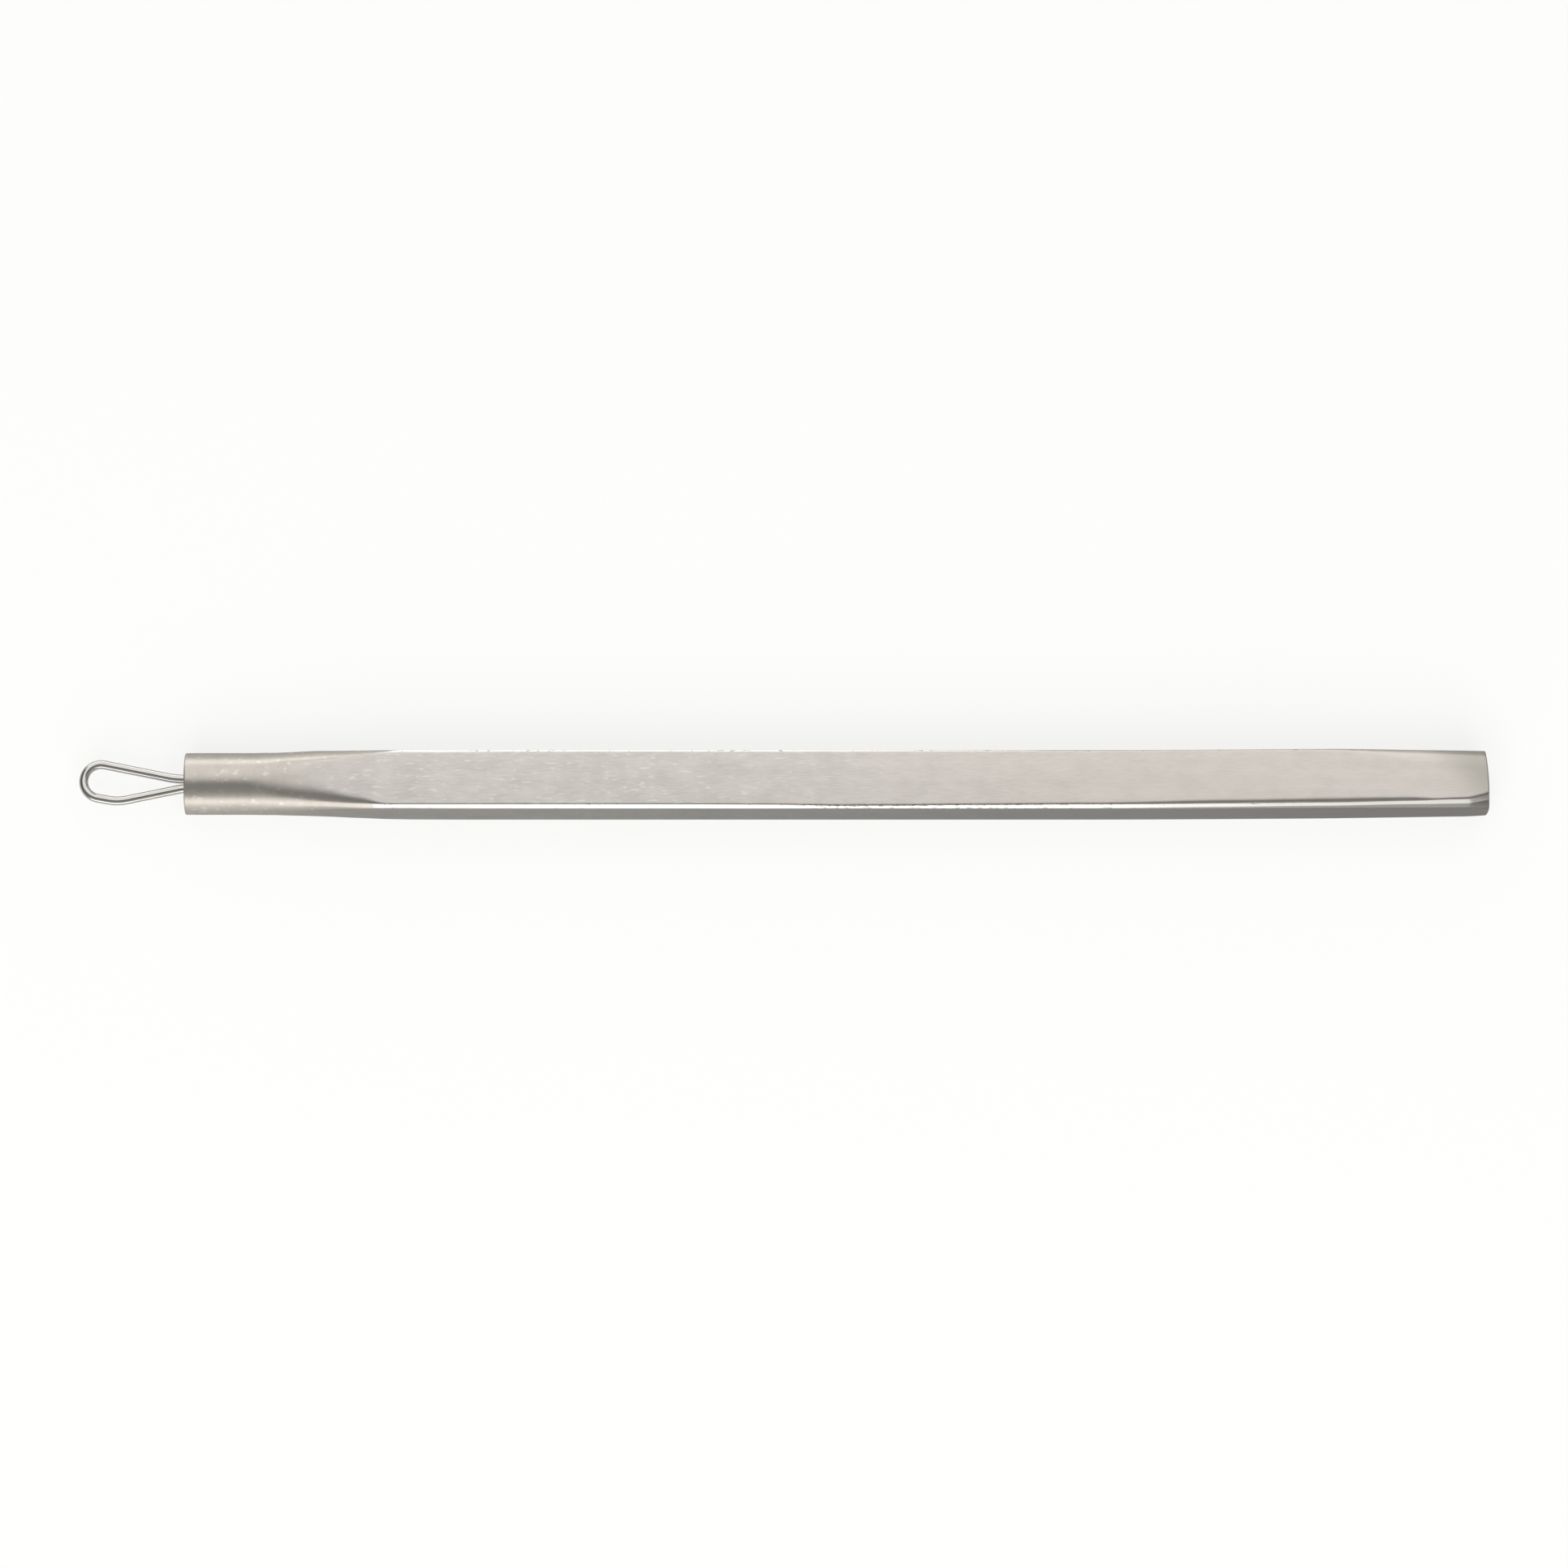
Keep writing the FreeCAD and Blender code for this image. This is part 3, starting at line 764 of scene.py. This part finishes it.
# Each softbox: direction over the front horizon, distance, left and right ends, height, radiance, and
# whether the metal mirrors it. The floor lamp only puts a faint shadow behind the tool.
softboxes = {
    "topPanel": (121, 0.8, -0.6, 0.6, 0.887, 0.57, True),
    "frontSoftbox": (7, 0.6, -0.5, 0.06, 0.3, 1.45, True),
    "frontSpill": (14, 0.6, 0.06, 0.19, 0.4, 0.46, True),
    "backSoftbox": (171, 0.7, -0.6, 0.07, 0.34, 1.25, True),
    "floorLamp": (45, 0.8, -0.4, 0.4, 0.8, 3.5, False),
}

# Each curved dark card: where it starts and ends over the front horizon, distance, left and right ends,
# and radiance
curvedCards = {
    "darkCard": (38, 94, 0.5, -0.7, 0.7, 0.27),
    "lensCard": (66, 90, 0.45, -0.3, 0.3, 0.15),
    "frontCard": (0, 36, 0.65, 0.2, 0.8, 0.42),
}
curveSteps = 24

# Each upright dark card beside the tool: its place, width, height and radiance
sideCards = {
    "leftCard": (-0.5, 0.9, 0.9, 0.12),
    "rightCard": (0.5, 0.9, 0.32, 0.35),
}


def addStage(bm, name, material):
    mesh = bpy.data.meshes.new(name)
    bm.to_mesh(mesh)
    bm.free()
    mesh.materials.append(material)
    thing = bpy.data.objects.new(name, mesh)
    bpy.context.scene.collection.objects.link(thing)
    return thing


def makeFloor():
    material = bpy.data.materials.new("paleFloor")
    graph = Graph(material)
    inView = graph.node("ShaderNodeLightPath", {}, {}, out="Is Camera Ray")
    rays = inView.out.node.outputs
    mirrored = Socket(graph, rays["Is Glossy Ray"]) + Socket(graph, rays["Is Transmission Ray"])
    # painted light: a band of floor ahead of the tool glows whiter to mirrored rays alone, so the metal
    # shows a brighter reflection there
    ahead = graph.axis(graph.place(), "Y").between(*studio["frontReach"])
    bright = ahead * studio["frontPaintedLight"] + studio["floorMirrored"]
    share = inView * studio["floorSeen"] + mirrored * bright
    colour = graph.tint(inView, studio["floorColour"], studio["floorInView"])
    paper = graph.node("ShaderNodeBsdfDiffuse", {}, {"Color": colour})
    white = graph.glow(studio["floorWhite"])
    mixed = graph.node("ShaderNodeMixShader", {}, {0: share, 1: paper, 2: white})
    graph.node("ShaderNodeOutputMaterial", {}, {"Surface": mixed})
    bm = bmesh.new()
    bmesh.ops.create_grid(bm, x_segments=1, y_segments=1, size=studio["floorSize"] / 2)
    bmesh.ops.translate(bm, vec=Vector((0, 0, cadLow[2])), verts=bm.verts)
    addStage(bm, "floor", material)


def addCard(bm, name, radiance):
    # a dark card that only the metal sees
    material = bpy.data.materials.new(name)
    graph = Graph(material)
    graph.node("ShaderNodeOutputMaterial", {}, {"Surface": graph.glow((radiance, radiance, radiance, 1))})
    card = addStage(bm, name, material)
    card.visible_camera = False
    card.visible_diffuse = False
    card.visible_shadow = False


def makeCurvedCard(name, low, high, distance, left, right, radiance):
    bm = bmesh.new()
    start = math.radians(low)
    reach = Vector((0, -math.cos(start), math.sin(start))) * distance
    ends = [bm.verts.new(reach + Vector((end, 0, 0))) for end in (left, right)]
    edge = bm.edges.new(ends)
    bmesh.ops.spin(bm, geom=ends + [edge], cent=(0, 0, 0), axis=(1, 0, 0), dvec=(0, 0, 0),
                   angle=-math.radians(high - low), steps=curveSteps, use_duplicate=False)
    addCard(bm, name, radiance)


def makeSideCard(name, x, width, height, radiance):
    # one metre square, turned upright and drawn out to its size
    bm = bmesh.new()
    bmesh.ops.create_grid(bm, x_segments=1, y_segments=1, size=0.5)
    bmesh.ops.rotate(bm, cent=(0, 0, 0), matrix=Matrix.Rotation(quarter, 3, "Y"), verts=bm.verts)
    bmesh.ops.scale(bm, vec=(1, width, height), verts=bm.verts)
    bmesh.ops.translate(bm, vec=(x, 0, height / 2), verts=bm.verts)
    addCard(bm, name, radiance)


def addSoftbox(name, direction, distance, left, right, height, radiance, isMirrored):
    light = bpy.data.lights.new(name, "AREA")
    light.shape = "RECTANGLE"
    light.size = right - left
    light.size_y = height
    light.energy = radiance * math.pi * light.size * height
    lamp = bpy.data.objects.new(name, light)
    turn = Matrix.Rotation(math.radians(90 - direction), 4, "X")
    lamp.matrix_world = turn @ Matrix.Translation(((left + right) / 2, 0, distance))
    lamp.visible_camera = False
    lamp.visible_glossy = isMirrored
    bpy.context.scene.collection.objects.link(lamp)


def makeCamera():
    data = bpy.data.cameras.new("camera")
    data.sensor_width = studio["sensor"]
    data.lens = studio["sensor"] * studio["cameraDistance"] / studio["frameWidth"]
    data.clip_start = studio["cameraClip"]
    camera = bpy.data.objects.new("camera", data)
    tilt = math.radians(90 - studio["cameraElevation"])
    centre = Vector(((cadLow[0] + cadHigh[0]) / 2, 0, axisHeight))
    camera.location = centre + Vector((0, -math.sin(tilt), math.cos(tilt))) * studio["cameraDistance"]
    camera.rotation_euler = (tilt, 0, 0)
    bpy.context.scene.collection.objects.link(camera)
    bpy.context.scene.camera = camera


def makeWorld():
    world = bpy.data.worlds.new("studio")
    graph = Graph(world)
    sky = graph.node("ShaderNodeBackground", {}, {"Color": studio["worldColour"], "Strength": 1.0})
    graph.node("ShaderNodeOutputWorld", {}, {"Surface": sky})
    bpy.context.scene.world = world


makeFloor()
for name, card in curvedCards.items():
    makeCurvedCard(name, *card)
for name, card in sideCards.items():
    makeSideCard(name, *card)
for name, softbox in softboxes.items():
    addSoftbox(name, *softbox)
makeWorld()
makeCamera()
bpy.context.scene.view_settings.view_transform = "Standard"
print("scene: floor, light and camera set")
